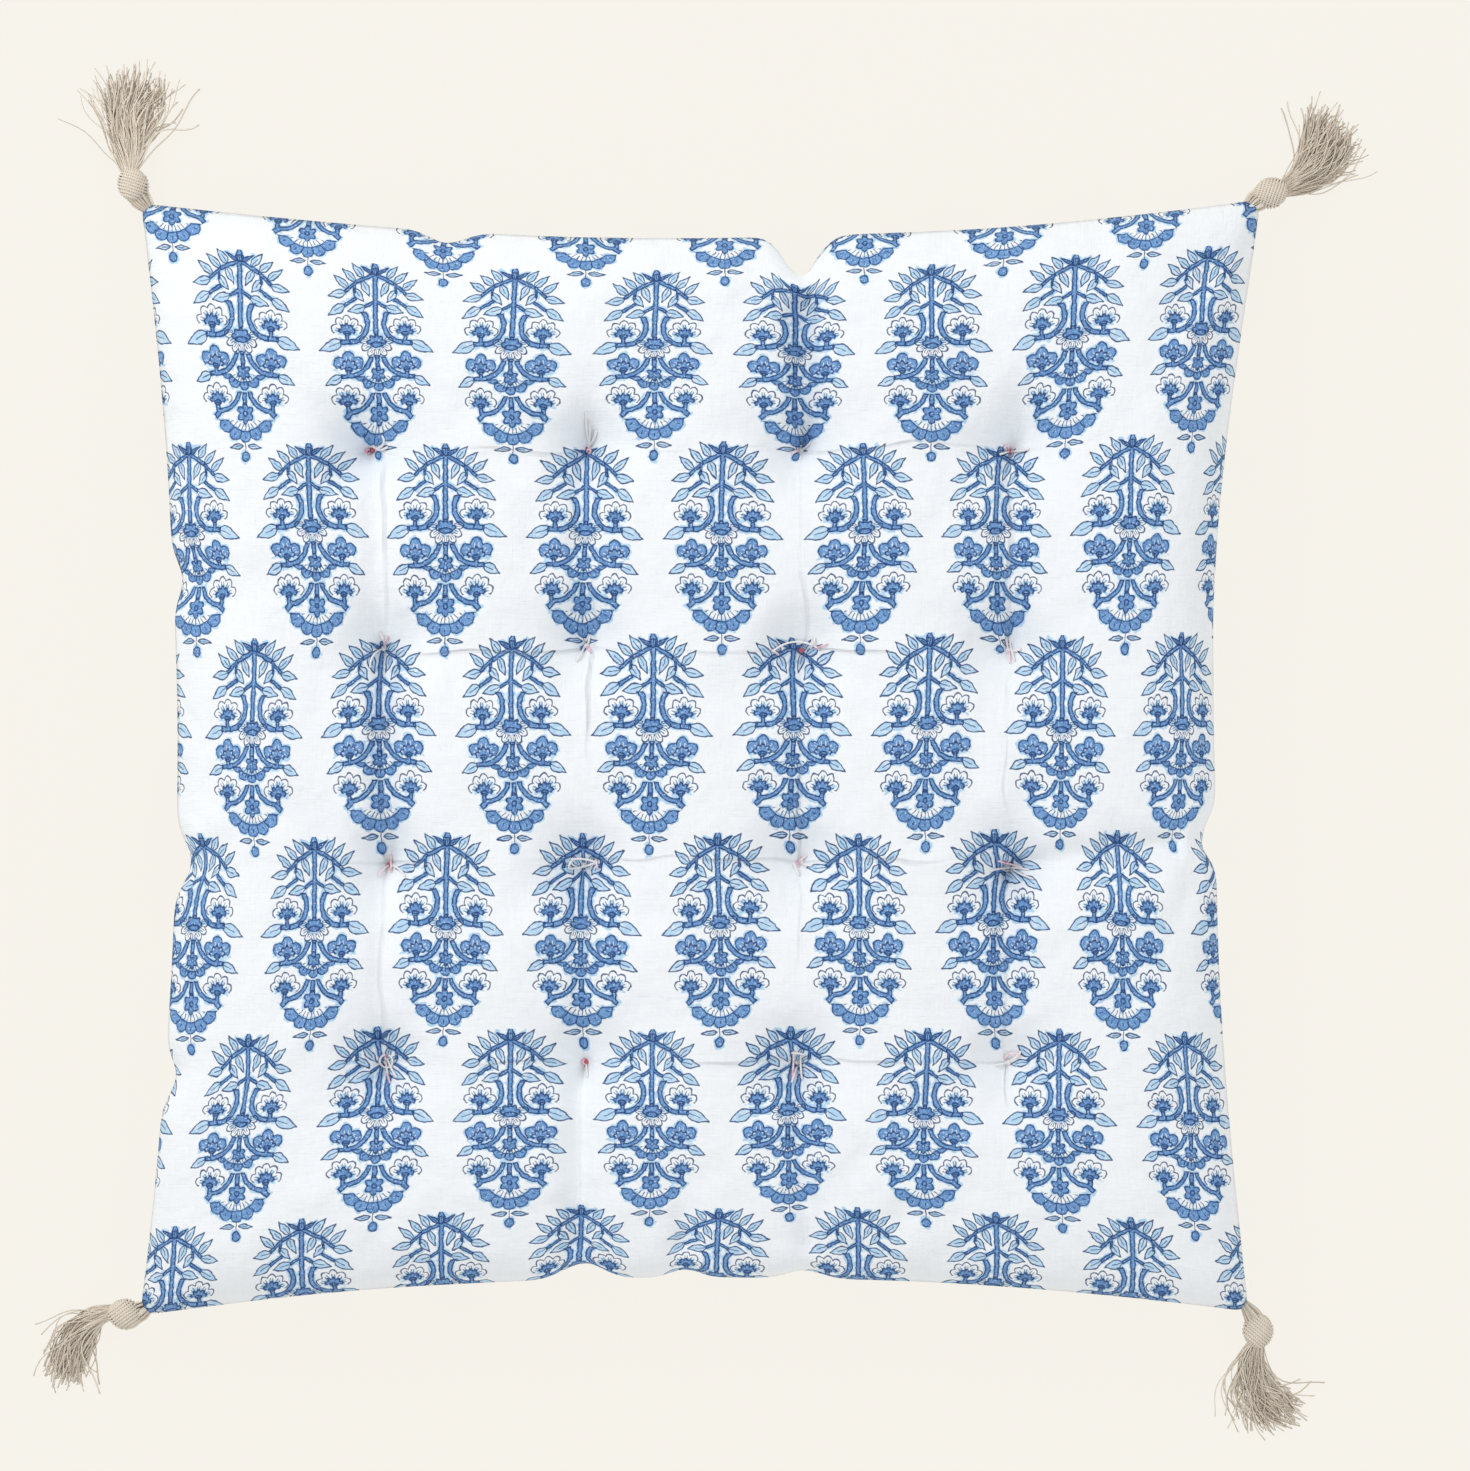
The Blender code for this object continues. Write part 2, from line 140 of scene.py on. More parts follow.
CREASES = (  # from, to, and how deep the fold is at either end
    ((0.054, 0.164), (0.052, 0.252), 0.016, 0.020),
    ((-0.058, -0.163), (-0.060, -0.268), 0.014, 0.012),
    ((-0.163, 0.053), (-0.162, -0.052), 0.013, 0.013),
    ((0.162, -0.060), (0.163, -0.128), 0.013, 0.006),
    ((-0.004, -0.225), (-0.005, -0.268), 0.002, 0.009),
    ((0.052, -0.163), (0.060, -0.266), 0.008, 0.009),
    ((0.166, -0.056), (0.262, -0.044), 0.009, 0.008),
    ((-0.172, 0.163), (-0.205, 0.190), 0.010, 0.001),
    ((-0.170, 0.159), (-0.200, 0.135), 0.010, 0.001),
    ((-0.163, -0.163), (-0.160, -0.200), 0.010, 0.001),
    ((-0.057, 0.165), (-0.054, 0.200), 0.010, 0.001),
    ((0.163, 0.163), (0.166, 0.196), 0.010, 0.001),
    ((-0.058, 0.155), (-0.060, 0.062), 0.009, 0.009),
    ((0.054, 0.050), (0.054, -0.050), 0.008, 0.008),
    ((0.162, 0.154), (0.162, 0.062), 0.008, 0.008),
    ((-0.058, -0.062), (-0.058, -0.153), 0.008, 0.008),
    ((-0.163, -0.062), (-0.163, -0.153), 0.006, 0.006),
    ((-0.168, 0.155), (-0.166, 0.062), 0.006, 0.006),
)
NOTCHES = (  # where the seam is pulled in: its place along a side, how far, how wide
    ((0.054, 1), 0.024, 0.011),
    ((-0.135, 1), 0.007, 0.012),
    ((-0.060, -1), 0.009, 0.014),
    ((0.060, -1), 0.005, 0.012),
    ((-0.005, -1), 0.005, 0.010),
    ((-1, 0.097), 0.006, 0.012),
    ((-1, -0.055), 0.009, 0.014),
    ((-1, -0.171), 0.007, 0.012),
    ((1, -0.044), 0.009, 0.012),
)


def rise(a, b):
    """Share of its full height that the cover reaches at a point of the cloth, -1 to 1."""
    return max(0, (1 - abs(a) ** 8) * (1 - abs(b) ** 8)) ** 0.4


CORNERS = {  # how far each corner is pulled from its place in a true square
    (-1, 1): (-0.0020, 0.0005),
    (1, 1): (0.0050, 0.0025),
    (1, -1): (-0.0015, -0.0005),
    (-1, -1): (-0.0025, -0.0025),
}


def flat_place(x, y):
    """Where a point of the filled cushion lies on the flat cloth, in the plan."""
    return x * CUT / side * 1.012, y * CUT / side * 1.012


def distance(x, y, start, end):
    """How far a point is from a straight line, and how far along the line its nearest point is."""
    run = Vector(end) - Vector(start)
    share = min(1, max(0, (Vector((x, y)) - Vector(start)).dot(run) / run.length_squared))
    return (Vector((x, y)) - Vector(start) - run * share).length, share


def stuffed(x, y, top):
    """Roughly where a point of the flat cloth lies once the cover is filled."""
    a, b = x / (CUT / 2), y / (CUT / 2)
    half = side / 2
    place_x = a * half - DRAWN_IN * (1 - b * b) * a**3
    place_y = b * half - DRAWN_IN * (1 - a * a) * b**3
    for (sign_x, sign_y), (out_x, out_y) in CORNERS.items():
        share = (1 + a * sign_x) * (1 + b * sign_y) / 4
        place_x += share * out_x
        place_y += share * out_y
    corner = abs(a * b) ** 3
    seam = SEAM_HEIGHT * (1 - corner) + CORNER_HEIGHT * corner
    full = rise(a, b)
    height = seam + (CROWN - seam) * full if top else seam * (1 - full)
    return Vector((place_x, place_y, height))


bm = bmesh.new()
for top in (True, False):
    made = bmesh.ops.create_grid(bm, x_segments=CELLS, y_segments=CELLS, size=CUT / 2)["verts"]
    for vert in made:
        edge = max(abs(vert.co.x), abs(vert.co.y)) > CUT / 2 - TINY
        vert.co.z = 0 if edge else (1 if top else -1)
bmesh.ops.remove_doubles(bm, verts=bm.verts, dist=TINY)
for face in bm.faces:
    top = face.calc_center_median().z > 0
    if (face.normal.z > 0) != top:
        face.normal_flip()
cover_mesh = bpy.data.meshes.new("cover")
bm.to_mesh(cover_mesh)
bm.free()
cover = bpy.data.objects.new("cover", cover_mesh)
scene.collection.objects.link(cover)

flat = [(vert.co.x, vert.co.y, vert.co.z) for vert in cover_mesh.vertices]
cover.shape_key_add(name="filled")
cover.shape_key_add(name="cut")
for key, (x, y, z) in zip(cover.data.shape_keys.key_blocks["cut"].data, flat, strict=True):
    key.co = (x * SLACK, y * SLACK, 0)
filled = cover.data.shape_keys.key_blocks["filled"].data
held = cover.vertex_groups.new(name="held")
spacing = CUT / CELLS
ties = [place for row in TIE_ROWS for place in row]
for index, (x, y, z) in enumerate(flat):
    place = stuffed(x, y, z >= 0)
    fixed = abs(x) > CUT / 2 - TINY and abs(y) > CUT / 2 - TINY
    for (along_x, along_y), pull, reach in NOTCHES:
        on_x = abs(along_x) == 1
        away = (y - along_y) if on_x else (x - along_x)
        inward = CUT / 2 - (x * along_x if on_x else y * along_y)
        amount = pull * math.exp(-((away / reach) ** 2) - inward / NOTCH_FADE)
        place -= Vector((along_x, 0, 0) if on_x else (0, along_y, 0)) * amount
        fixed |= abs(away) < spacing * 0.6 and inward < TINY
    for tie in ties:
        flat_x, flat_y = flat_place(*tie)
        away = math.hypot(x - flat_x, y - flat_y)
        pull = math.exp(-((away / DIMPLE_WIDTH) ** 2))
        if z:
            place.z -= (DIMPLE_TOP if z > 0 else -DIMPLE_UNDER) * pull
            nearness = math.exp(-((away / GATHER) ** 2))
            place += (Vector((*tie, place.z)) - place) * nearness
            fixed |= away < spacing * 0.75
    if z > 0:
        for start, end, deep_start, deep_end in CREASES:
            away, share = distance(x, y, flat_place(*start), flat_place(*end))
            deep = deep_start + (deep_end - deep_start) * share
            place.z -= deep * math.exp(-((away / CREASE_WIDTH) ** 2))
            fixed |= away < spacing * 0.5 and deep > 0.005
    if fixed:
        held.add([index], 1, "REPLACE")
    elif z > 0:
        place.z += noise.noise(Vector((x * 40, y * 40, 3))) * UNEVEN
    filled[index].co = place

cloth = cover.modifiers.new("cloth", "CLOTH")
settings = cloth.settings
settings.quality = 6
settings.mass = 0.3
settings.tension_stiffness = settings.compression_stiffness = 15
settings.shear_stiffness = 5
settings.bending_stiffness = 0.08
settings.tension_damping = settings.compression_damping = 5
settings.air_damping = 1
settings.use_pressure = True
settings.uniform_pressure_force = 5
settings.vertex_group_mass = "held"
settings.effector_weights.gravity = 0
settings.rest_shape_key = cover.data.shape_keys.key_blocks["cut"]
cloth.collision_settings.use_collision = False
cloth.point_cache.frame_start = 1
cloth.point_cache.frame_end = SETTLE_FRAMES
for step in range(1, SETTLE_FRAMES + 1):
    scene.frame_set(step)
evaluated = cover.evaluated_get(bpy.context.evaluated_depsgraph_get())
places = [vert.co.copy() for vert in evaluated.data.vertices]
grid = {}
for (x, y, z), place in zip(flat, places, strict=True):
    if place.z < BED:
        place.z = BED * math.exp((place.z - BED) / BED)
    grid[round(x / spacing + CELLS / 2), round(y / spacing + CELLS / 2), z] = place
for corner in ((0, 0), (0, CELLS), (CELLS, 0), (CELLS, CELLS)):
    grid[*corner, 0] *= 1 - BLUNT / grid[*corner, 0].length
bpy.data.objects.remove(cover)


class Socket:
    """One output of a shader node, which can be added, multiplied and so on as a number can."""

    tree = None

    def __init__(self, socket):
        self.socket = socket

    @classmethod
    def node(cls, kind, inputs=None, out=0, **settings):
        """Adds any node to the tree and hands back one of its outputs."""
        made = cls.tree.nodes.new(kind)
        for name, value in settings.items():
            setattr(made, name, value)
        for name, value in (inputs or {}).items():
            if isinstance(value, Socket):
                cls.tree.links.new(value.socket, made.inputs[name])
            else:
                made.inputs[name].default_value = value
        return cls(made.outputs[out])

    def other(self, name):
        """Another output of the same node."""
        return Socket(self.socket.node.outputs[name])

    def __add__(self, other):
        return maths("ADD", self, other)

    def __sub__(self, other):
        return maths("SUBTRACT", self, other)

    def __rsub__(self, other):
        return maths("SUBTRACT", other, self)

    def __mul__(self, other):
        return maths("MULTIPLY", self, other)

    def __truediv__(self, other):
        return maths("DIVIDE", self, other)

    def __abs__(self):
        return maths("ABSOLUTE", self)

    __radd__ = __add__
    __rmul__ = __mul__


def maths(operation, *values, clamp=False):
    """A Math node."""
    inputs = dict(enumerate(values))
    return Socket.node("ShaderNodeMath", inputs, operation=operation, use_clamp=clamp)


def vector(operation, *values, scale=None):
    """A Vector Math node. Lengths and distances come from its second output."""
    inputs = dict(enumerate(values)) | ({} if scale is None else {"Scale": scale})
    out = 1 if operation in ("LENGTH", "DISTANCE") else 0
    return Socket.node("ShaderNodeVectorMath", inputs, out, operation=operation)


def highest(first, *rest):
    """The largest of some values."""
    for value in rest:
        first = maths("MAXIMUM", first, value)
    return first


def blended(share, first, second):
    """Mixes two colours."""
    inputs = {0: share, 6: first, 7: second}
    return Socket.node("ShaderNodeMix", inputs, 2, data_type="RGBA")


def grain(place, scale, detail=2.0, out=0):
    """Soft random variation about 0.5."""
    inputs = {"Vector": place, "Scale": scale, "Detail": detail}
    return Socket.node("ShaderNodeTexNoise", inputs, out)


def parts(place):
    """The x and y of a vector."""
    x = Socket.node("ShaderNodeSeparateXYZ", {0: place})
    return x, x.other("Y")


def paint_of(name):
    """A new material with its tree chosen for what follows, and its shader."""
    made = bpy.data.materials.new(name)
    made.use_nodes = True
    Socket.tree = made.node_tree
    return made, made.node_tree.nodes["Principled BSDF"]


def finish_paint(shader, colour, roughness, height, depth):
    """Joins a colour, a roughness and a relief to a material's shader."""
    bump = Socket.node("ShaderNodeBump", {"Height": height, "Distance": depth})
    for name, value in (("Base Color", colour), ("Normal", bump), ("Roughness", roughness)):
        if isinstance(value, Socket):
            Socket.tree.links.new(value.socket, shader.inputs[name])
        else:
            shader.inputs[name].default_value = value
    shader.inputs["Specular IOR Level"].default_value = 0.2


# The print: one flowering sprig, cut on wooden blocks for the outline, the blue and the light
# blue. Sprigs stand in rows, each row shifted by half a sprig. Sizes here are in millimetres.

ACROSS, DOWN = 77, 112.5  # from sprig to sprig, and from row to row
FIRST_SPRIG, FIRST_ROW = 25, 409  # where the repeat starts
NARROW = 1.14  # every shape below is drawn this much wider than it prints
CLOTH_SCALE, CLOTH_SHIFT = (1037, 1066, 0), (0, 1.5, 0)  # from metres on the slack cloth
WHITE = (0.910, 0.942, 0.970, 1)
PALE_BLUE = (0.46, 0.67, 0.87, 1)
OUTLINE = (0.018, 0.050, 0.165, 1)

cotton, shader = paint_of("printed_cotton")
on_cloth = Socket.node("ShaderNodeUVMap", uv_map="cloth")
flat_cloth = vector("ADD", vector("MULTIPLY", on_cloth, CLOTH_SCALE), CLOTH_SHIFT)
uneven = vector("SUBTRACT", grain(flat_cloth, 0.30, 1.0, 1), (0.5, 0.5, 0.5))
drift = vector("SUBTRACT", grain(flat_cloth, 0.011, 0.0, 1), (0.5, 0.5, 0.5))
place = vector("ADD", flat_cloth, vector("SCALE", uneven, scale=1.5))
place = vector("ADD", place, vector("SCALE", drift, scale=7))
across, up = parts(place)
rows_down = (FIRST_ROW - up) / DOWN
row = maths("FLOOR", rows_down)
t = (rows_down - row) * DOWN  # down from the top of the sprig
turn = across + FIRST_SPRIG - (1 - maths("MODULO", row, 2)) * (ACROSS / 2)
s = abs(maths("WRAP", turn, ACROSS / 2, -ACROSS / 2)) * NARROW  # out from its stem
point = Socket.node("ShaderNodeCombineXYZ", {0: s, 1: t})
block = dict.fromkeys(("stem", "blue", "light", "line", "bare"), 9.0)  # far from any shape


def lay(colour, *shapes):
    """Cuts shapes, given as distances from their edges, into the block of one colour."""
    for shape in shapes:
        block[colour] = maths("MINIMUM", shape, block[colour])


def along(x0, y0, x1, y1):
    """How far the point is along a stroke and to the side of it, and the stroke's length."""
    angle = math.atan2(y1 - y0, x1 - x0)
    inputs = {"Vector": point, "Location": (x0, y0, 0), "Rotation": (0, 0, angle)}
    forward, side = parts(Socket.node("ShaderNodeMapping", inputs, vector_type="TEXTURE"))
    return forward, abs(side), math.hypot(x1 - x0, y1 - y0)


def bar(x0, y0, x1, y1, half):
    """A straight piece of stem."""
    forward, side, length = along(x0, y0, x1, y1)
    lay("stem", highest(side - half, abs(forward - length / 2) - length / 2))


def leaf(x0, y0, x1, y1, half, colour="light"):
    """A leaf with an outline and a vein."""
    forward, side, length = along(x0, y0, x1, y1)
    share = forward / length
    shape = side - (share - share * share) * (1.25 - 0.85 * share) * (5.4 * half)
    shape = highest(shape, forward - length, -1 * forward)
    lay(colour, shape - 0.2)
    lay("line", abs(shape) - 0.42, highest(side - 0.26, abs(forward - 0.3 * length) - 0.3 * length))


def oval(x, y, wide, high, colour="blue"):
    """An oval with an outline. Hands back the distance from its edge."""
    inputs = {"Vector": point, "Location": (x, y, 0), "Scale": (wide, high, 1)}
    inside = Socket.node("ShaderNodeMapping", inputs, vector_type="TEXTURE")
    shape = (vector("LENGTH", inside) - 1) * min(wide, high)
    lay(colour, shape)
    lay("line", abs(shape) - 0.34)


def arc(x, y, radius, half, top):
    """A curved piece of stem: the lower quarter of a ring, from a height downwards."""
    away = vector("DISTANCE", point, (x, y, 0)) - radius
    lay("stem", highest(abs(away) - half, s - x, top - t))


def rays(x, y, upwards, spacing, count):
    """Round a centre: how far out, the angle, how far from a ray, and how far past the last one."""
    offset = vector("SUBTRACT", point, (x, y, 0))
    right, down = parts(offset)
    away = vector("LENGTH", offset)
    angle = maths("ARCTAN2", right, down * (-1 if upwards else 1))
    step = math.radians(spacing)
    near = abs(maths("WRAP", angle, step / 2, -step / 2)) * away
    return away, abs(angle), near, (abs(angle) - count * step / 2) * away


def petals(x, y, upwards, spacing, count, radius, long, half, stroke=None):
    """A ring of petals: bare ones with fine strokes, or blue ones, plain or with bare strokes."""
    away, _, near, beyond = rays(x, y, upwards, spacing, count)
    inputs = {0: near / half, 1: (away - radius) / long}
    shape = (vector("LENGTH", Socket.node("ShaderNodeCombineXYZ", inputs)) - 1) * half
    lay("line", highest(abs(shape) - 0.36, beyond - 0.3, radius - long * 0.85 - away))
    strokes = abs(near - half * 0.30) - 0.24
    strokes = highest(strokes, abs(away - radius + long * 0.2) - long * 0.42, beyond)
    if stroke != "line":
        lay("blue", highest(shape, beyond))
    if stroke:
        lay(stroke, strokes)


def flower(x, y, dark):
    """Petals that open upwards over a small dark cup, on a short stalk."""
    if dark:
        petals(x, y, True, 60, 3, 6.4, 4.3, 4.2, "bare")
    else:
        petals(x, y, True, 37, 5, 7.1, 3.6, 2.9, "line")
    petals(x, y + 0.4, True, 37, 5, 3.0, 2.7, 1.6)
    oval(x, y + 0.5, 2.2, 1.5)
    lay("stem", highest(abs(s - x) - 1.2, abs(t - y - 3.2) - 2.6))


def fan(x, y, inner, outer, low, scallop, rise_side):
    """A white band with fine strokes over a blue scalloped rim, both cut off level at the top."""
    away, angle, _, _ = rays(x, y, False, scallop, 3)
    lobe = math.radians(scallop) / 2
    lift = angle * angle * rise_side
    near = maths("WRAP", angle, lobe, -lobe)
    notch = near * near * (2.2 / lobe**2)
    above = y + low - t
    rim = highest(inner - away + lift * 0.8, away - outer - lift + notch, above)
    lay("blue", rim)
    lay("line", abs(rim) - 0.30, highest((lobe - abs(near)) * away - 0.35, rim))
    tick = abs(maths("WRAP", angle, 0.14, -0.14)) * away - 0.3
    lay("line", highest(tick, abs(away - lift * 0.6 - inner * 0.80) - inner * 0.17, above))
    lay("line", highest(tick, abs(away - lift - outer + 3.4) - 1.1, above))


LEAVES = (  # from the stalk to the tip: s, t, s, t, and half the width
    (7.6, 9.6, 14.8, 1.2, 1.9),
    (12.4, 12.8, 21.4, 5.0, 1.9),
    (17.6, 17.2, 27.4, 9.4, 1.9),
    (19.5, 20.3, 31.4, 22.8, 2.2),
    (20.3, 28, 31.4, 35, 2.4),
    (8.6, 11.8, 3.7, 22.0, 2.0),
    (13.9, 17.6, 7.6, 25.6, 2.0),
    (6.6, 28.9, 18.4, 32.2, 2.4),
    (22.5, 51.2, 37.4, 57.2, 3.0),
    (23, 72.9, 34, 78, 2.3),
)
STEMS = (  # straight pieces, from end to end, and half the width
    (0, 3, 0, 48.2, 1.45),
    (0, 59.9, 0, 69.8, 1.3),
    (0, 83.3, 0, 90.5, 1.4),
    (0, 7, 12.5, 13.2, 1.15),
    (12.5, 13.2, 20, 19.6, 0.95),
    (13.4, 14.2, 13.8, 20, 0.7),
    (12.6, 23.5, 20.5, 28.5, 0.95),
    (0.5, 25, 7, 29, 0.9),
    (17.5, 51.5, 24, 51.6, 1.4),
    (19.5, 72.7, 24, 73, 1.2),
    (17, 93.4, 21.5, 97.5, 1.5),
)
for numbers in LEAVES:
    leaf(*numbers)
for numbers in STEMS:
    bar(*numbers)
arc(17.5, 39.5, 12, 1.5, 32)
arc(19.5, 56.5, 16.2, 1.4, 61)
arc(18, 79, 15, 1.3, 83)
flower(19.3, 45.4, False)
flower(19.0, 68.0, True)
flower(19.6, 88.8, False)
petals(0, 50.5, False, 30, 7, 8.2, 3.0, 2.2, "line")
petals(0, 53.0, True, 36, 5, 3.5, 3.0, 1.9)
oval(0, 53.2, 4.0, 1.6)
fan(0, 70, 7.2, 11.8, 2.9, 40, 2.0)
petals(0, 71.4, True, 60, 6, 2.5, 2.1, 1.6)
fan(0, 95, 10.6, 17.4, 4.4, 30, 2.2)
petals(0, 95.4, True, 60, 6, 3.3, 2.7, 2.1)
oval(0, 95.4, 1.5, 1.5)
leaf(0, 8, 0, -1.6, 2.0, "blue")
leaf(0.6, 7.4, 9.0, 2.6, 1.0, "blue")
lay("blue", block["stem"])
lay("line", abs(block["stem"] + 0.1) - 0.38)

# The last leaves and the bud hang below the row, beside the tops of the next one.
s = ACROSS / 2 * NARROW - s
t = t + DOWN
point = Socket.node("ShaderNodeCombineXYZ", {0: s, 1: t})
lay("line", highest(abs(s) - 0.3, abs(t - 115) - 3))
leaf(1.5, 114.6, 11.5, 115.6, 1.2)
oval(0, 121, 2.7, 2.9)


def inked(colour, soft):
    """How fully one block has coloured the cloth, 0 to 1."""
    return maths("MULTIPLY_ADD", block[colour], -1 / soft, 0.5, clamp=True)


patchy = grain(flat_cloth, 0.28, 3.0)
worn = maths("MULTIPLY_ADD", grain(flat_cloth, 0.9, 3.0), 7.0, -2.1, clamp=True)
deep = maths("MULTIPLY_ADD", block["blue"], -0.75, 0.05, clamp=True)  # ink is squeezed to the edges
halo = block["blue"] - maths("MULTIPLY_ADD", patchy, 5.0, -1.4)
block["light"] = maths("MINIMUM", block["light"], halo)
weft = grain(vector("MULTIPLY", flat_cloth, (0.06, 1.5, 0)), 1.0, 2.0)
warp = grain(vector("MULTIPLY", flat_cloth, (1.5, 0.06, 0)), 1.0, 2.0)
threads = weft + warp - 1
white = blended(maths("MULTIPLY_ADD", threads, 1.4, 0.5, clamp=True), (0.862, 0.895, 0.925, 1), WHITE)
blue = blended(deep * patchy * 1.7, (0.034, 0.118, 0.350, 1), (0.180, 0.355, 0.655, 1))
thin = maths("MULTIPLY_ADD", patchy, 2.6, -0.38, clamp=True)
light = blended(inked("light", 0.7) * thin, white, PALE_BLUE)
colour = blended(inked("blue", 0.5) * worn, light, blue)
colour = blended(inked("bare", 0.4) * 0.8, colour, white)
colour = blended(inked("line", 0.35) * maths("MULTIPLY_ADD", worn, 0.35, 0.60), colour, OUTLINE)
right, upward = parts(flat_cloth)
waver = maths("MULTIPLY_ADD", grain(flat_cloth, 0.02, 1.0), 14, -7)


def fold(place, line, pitch):
    """Fine folds that run straight from tie to tie, where the cloth is pulled together: the mask of their
    relief and of the shade painted along them.
    """
    off = maths("WRAP", place + waver - line, pitch / 2, -pitch / 2)
    return maths("MULTIPLY_ADD", abs(off), -0.6, 1, clamp=True)


pulled = maths("MULTIPLY_ADD", grain(flat_cloth, 0.012, 2.0), 5, -2, clamp=True)
inside = maths("MULTIPLY_ADD", highest(abs(right), abs(upward)), -1 / 30, 7, clamp=True)
fold_relief_and_shade = highest(fold(right, 58.2, 117.3), fold(upward, 61.2, 118.3)) * pulled * inside
# Painted shade: the cloth's colour is greyed along the fold lines, in place of the shade the fine folds
# would cast.
colour = blended(fold_relief_and_shade * 0.16, colour, (0.50, 0.54, 0.62, 1))
relief = threads * 0.3 - fold_relief_and_shade + grain(flat_cloth, 0.05, 3.0) * 2.5
finish_paint(shader, colour, 0.92, relief, 0.001)

ALLOWANCE, ALLOWANCE_HALF_GAP = 0.010, 0.0003  # turned in at the seam, and how far it stands apart
EDGE_IN, EDGE_HALF_GAP = 0.0008, 0.0001  # where each panel is folded, at the seam
PRINT_UNDER = (0.031, -0.047)  # shift of the print on the underside, which was cut elsewhere
panels = {}
for name, side_up, shift in (("top", 1, (0, 0)), ("bottom", -1, PRINT_UNDER)):
    bm = bmesh.new()
    cloth_map = bm.loops.layers.uv.new("cloth")
    bake_map = bm.loops.layers.uv.new("OFBake")
    crease = bm.edges.layers.float.new("crease_edge")
    verts = {}
    for i in range(-1, CELLS + 2):
        for j in range(-1, CELLS + 2):
            near = min(CELLS, max(0, i)), min(CELLS, max(0, j))
            edge = {0, CELLS} & set(near)
            place = grid[*near, 0 if edge else side_up].copy()
            inward = Vector((-place.x, -place.y, 0)).normalized()
            if near != (i, j):
                place += inward * ALLOWANCE + Vector((0, 0, ALLOWANCE_HALF_GAP * side_up))
            elif edge:
                place += inward * EDGE_IN + Vector((0, 0, EDGE_HALF_GAP * side_up))
            verts[i, j] = bm.verts.new(place)
    for i in range(-1, CELLS + 1):
        for j in range(-1, CELLS + 1):
            corners = [(i, j), (i + 1, j), (i + 1, j + 1), (i, j + 1)][::side_up]
            if i in (-1, CELLS) and j in (-1, CELLS):
                continue
            face = bm.faces.new([verts[place] for place in corners])
            face.smooth = True
            for loop, (x, y) in zip(face.loops, corners, strict=True):
                x, y = (x - CELLS / 2) * spacing, (y - CELLS / 2) * spacing
                loop[cloth_map].uv = (x * side_up + shift[0], y + shift[1])
                loop[bake_map].uv = (0.5 + 0.95 * x / CUT, 0.5 + 0.95 * y / CUT)
    for k in range(CELLS):
        for one, two in (((k, 0), (k + 1, 0)), ((k, CELLS), (k + 1, CELLS))):
            for ends in ((one, two), (one[::-1], two[::-1])):  # the other two sides swap i and j
                bm.edges.get([verts[place] for place in ends])[crease] = 1
    bmesh.ops.delete(bm, geom=[vert for vert in bm.verts if not vert.link_faces], context="VERTS")
    mesh = bpy.data.meshes.new(f"{name}_cover")
    bm.to_mesh(mesh)
    bm.free()
    mesh.materials.append(cotton)
    panel = panels[name] = bpy.data.objects.new(f"{name}_cover", mesh)
    scene.collection.objects.link(panel)
    smooth = panel.modifiers.new("smooth", "SUBSURF")
    smooth.levels = smooth.render_levels = 1
    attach(panel, "cushion")
    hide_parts(f"{name}_panel")

# ---- Filling ------------------------------------------------------------------------------
# Three combed layers of cotton wadding, cut a little smaller than the cover and laid inside it.
# They follow the cover, so they swell between the ties too.

LAYERS = {"wadding_bottom": (0.06, 0.35), "wadding_middle": (0.38, 0.65), "wadding_top": (0.68, 0.94)}
STEP = 3  # cells of the cloth to each cell of the wadding
fluff, shader = paint_of("cotton_wadding")
fibres = grain(Socket.node("ShaderNodeTexCoord", out=3), 90.0, 6.0)
finish_paint(shader, blended(fibres, (0.68, 0.64, 0.55, 1), (0.87, 0.84, 0.76, 1)), 1.0, fibres, 0.002)
for name, (under, over) in LAYERS.items():
    bm = bmesh.new()
    places = {}
    marks = range(2 * STEP, CELLS - STEP, STEP)
    for i in marks:
        for j in marks:
            below, above = grid[i, j, -1].copy(), grid[i, j, 1].copy()
            around = [(i + x, j + y) for x in range(-STEP, STEP + 1) for y in range(-STEP, STEP + 1)]
            around = [place for place in around if (*place, 1) in grid]
            below.z = max(grid[*place, -1].z for place in around)
            above.z = max(below.z + 0.004, min(grid[*place, 1].z for place in around))
            for level, share in enumerate((under, over)):
                places[i, j, level] = bm.verts.new(below.lerp(above, share))
    for i in marks[:-1]:
        for j in marks[:-1]:
            for level, order in enumerate(((0, 1, 2, 3), (3, 2, 1, 0))):
                corners = [(i, j), (i, j + STEP), (i + STEP, j + STEP), (i + STEP, j)]
                bm.faces.new([places[(*corners[k], level)] for k in order])
    bmesh.ops.bridge_loops(bm, edges=[edge for edge in bm.edges if edge.is_boundary])
    bmesh.ops.recalc_face_normals(bm, faces=bm.faces)
    for face in bm.faces:
        face.smooth = True
    mesh = bpy.data.meshes.new(name)
    bm.to_mesh(mesh)
    bm.free()
    mesh.materials.append(fluff)
    layer = bpy.data.objects.new(f"{name}_fluff", mesh)
    scene.collection.objects.link(layer)
    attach(layer, "cushion")
    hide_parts(name)

# ---- Seam thread --------------------------------------------------------------------------
# White overlock thread goes to and fro over the raw edges, all round the inside of the seam.


